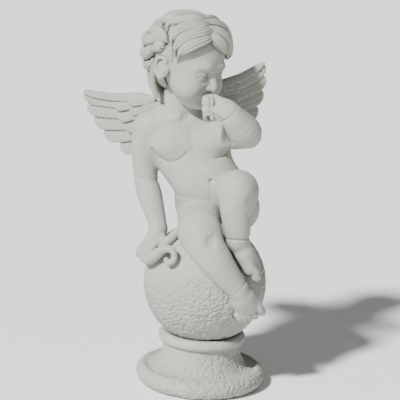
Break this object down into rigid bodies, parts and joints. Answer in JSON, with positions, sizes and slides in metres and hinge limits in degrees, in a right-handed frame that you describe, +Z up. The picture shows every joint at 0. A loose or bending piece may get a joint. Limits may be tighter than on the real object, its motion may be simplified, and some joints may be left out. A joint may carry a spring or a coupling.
{
  "type": "garden statue",
  "caption": "Winged child in cast stone, seated on a textured ball over a turned round foot, one hand at the mouth and the other on a bow.",
  "frame": {"origin": "centre of the foot's flat underside", "axes": "+Z up the statue's height, -Y towards the figure's front, +X to the figure's left"},
  "size_m": [0.4146, 0.3097, 0.7961],
  "materials": {
    "stone": null
  },
  "bodies": {
    "root": {"putto_on_ball": "stone", "round_foot": "stone"}
  },
  "joints": []
}
